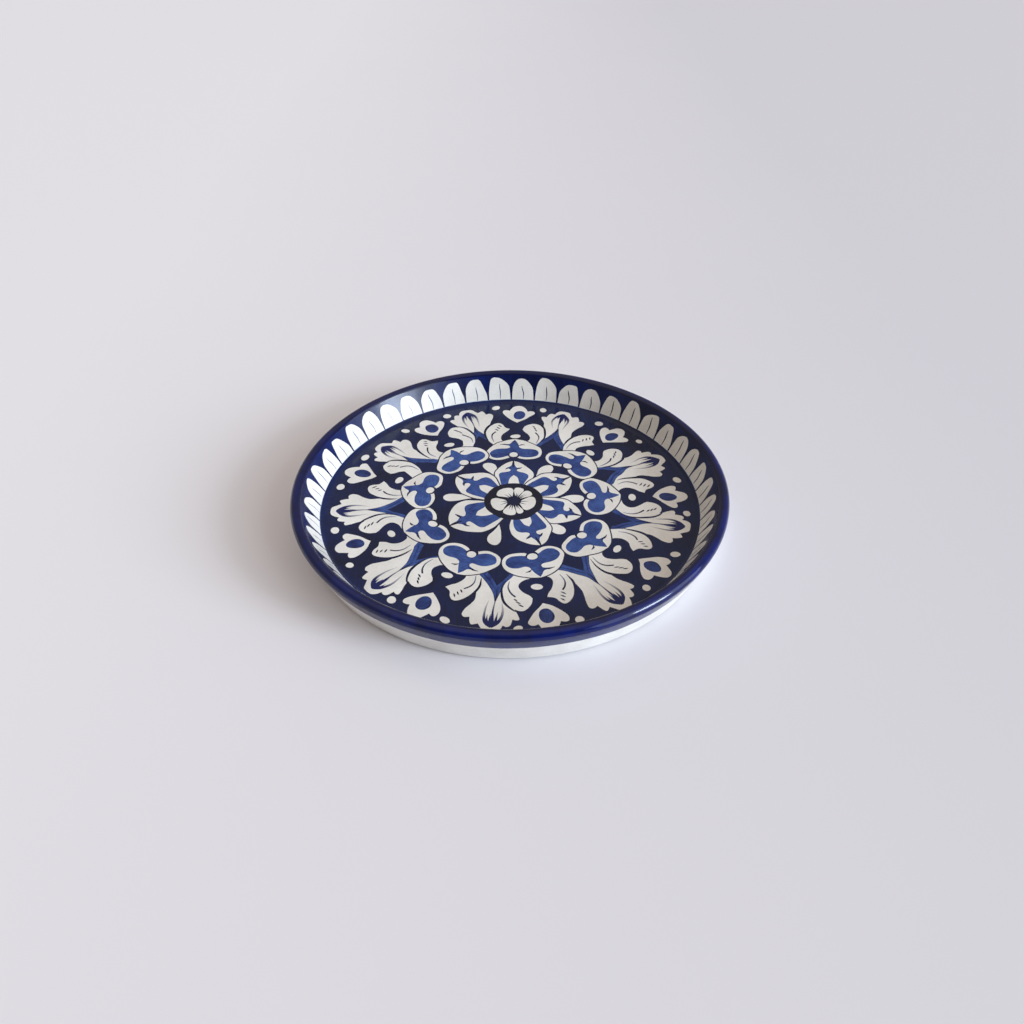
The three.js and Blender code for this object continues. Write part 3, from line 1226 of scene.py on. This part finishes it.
# The window and the bright wall round it: strength, and width in degrees
WINDOW = (2.4, 20)
WINDOW_WALL = (2.0, 60)
WINDOW_COLOUR = (0.76, 0.87, 1.0)
WINDOW_ROUND = math.radians(67)  # from the front, round to the right
WINDOW_UP = math.radians(18.5)
ROOM_COLOUR = (1.0, 0.9, 0.83, 1.0)
ROOM_SIDES = 0.4
ROOM_CEILING = 0.85
ROOM_BEHIND = 0.4  # share of that light that is left behind the camera
TABLE_HALF = 12.0
CAMERA_TARGET = (0.00142, -0.00329, 0.002)
CAMERA_UP = math.radians(38.96)
CAMERA_ROLL = math.radians(-0.39)
CAMERA_DISTANCE = 0.6287
CAMERA_LENS = 31.11


def make_table():
    signs = [(-1, -1), (1, -1), (1, 1), (-1, 1)]
    verts = [(x * TABLE_HALF, y * TABLE_HALF, 0) for x, y in signs]
    table = mesh_object("table", verts, [(0, 1, 2, 3)])
    shader = Shader("pale_table")
    place = shader.place()
    # Painted shade: the table's colour darkens from left to right (towards +X), standing in for
    # light that falls off across it; a little noise breaks the change up.
    side = shader.node("SeparateXYZ", {0: place}, 0)
    clouds = shader.math("MULTIPLY_ADD", shader.noise(place, 3.0, 3.0), 0.1, side)
    away = shader.spread(clouds, -0.35, 0.45)
    colour = shader.mix(away, srgb(240, 238, 241), srgb(221, 219, 225))
    shader.set("Base Color", colour)
    shader.set("Roughness", 0.75)
    table.data.materials.append(shader.material)


def make_light(name, strength, width):
    """Daylight from the window's side, low from the right and the front."""
    data = bpy.data.lights.new(name, "SUN")
    data.energy = strength
    data.color = WINDOW_COLOUR
    data.angle = math.radians(width)
    light = bpy.data.objects.new(name, data)
    away = Vector((math.sin(WINDOW_ROUND), -math.cos(WINDOW_ROUND), math.tan(WINDOW_UP)))
    light.location = away
    light.rotation_euler = (-away).to_track_quat("-Z", "Y").to_euler()
    bpy.context.scene.collection.objects.link(light)


def make_world():
    """A warm room: brightest overhead, and dark behind the camera."""
    world = bpy.data.worlds.new("studio")
    world.use_nodes = True
    nodes = Nodes(world.node_tree)
    place = nodes.node("TexCoord", {}, "Generated")

    def gradient(direction, *levels):
        inputs = {0: place, 1: Vector(direction).normalized()}
        facing = nodes.node("VectorMath", inputs, "Value", operation="DOT_PRODUCT")
        return nodes.spread(facing, *levels, interpolation_type="SMOOTHSTEP")

    upward = gradient((0, 0, 1), 0.55, 0.9, ROOM_SIDES, ROOM_CEILING)
    behind = gradient((0, -0.93, 0.36), 0.45, 0.9, 1.0, ROOM_BEHIND)
    background = nodes.tree.nodes["Background"]
    nodes.put(background, "Color", ROOM_COLOUR)
    nodes.put(background, "Strength", nodes.math("MULTIPLY", upward, behind))
    bpy.context.scene.world = world


def make_camera():
    away = Vector((0, -math.cos(CAMERA_UP), math.sin(CAMERA_UP)))
    data = bpy.data.cameras.new("camera")
    data.lens = CAMERA_LENS
    data.sensor_width = 36.0
    camera = bpy.data.objects.new("camera", data)
    camera.location = Vector(CAMERA_TARGET) + CAMERA_DISTANCE * away
    roll = Matrix.Rotation(CAMERA_ROLL, 3, "Z")
    camera.rotation_euler = ((-away).to_track_quat("-Z", "Y").to_matrix() @ roll).to_euler()
    bpy.context.scene.collection.objects.link(camera)
    bpy.context.scene.camera = camera


def make_studio():
    make_table()
    make_light("window", *WINDOW)
    make_light("window_wall", *WINDOW_WALL)
    make_world()
    make_camera()
    bpy.context.scene.view_settings.view_transform = "Standard"


make_pieces()
make_studio()
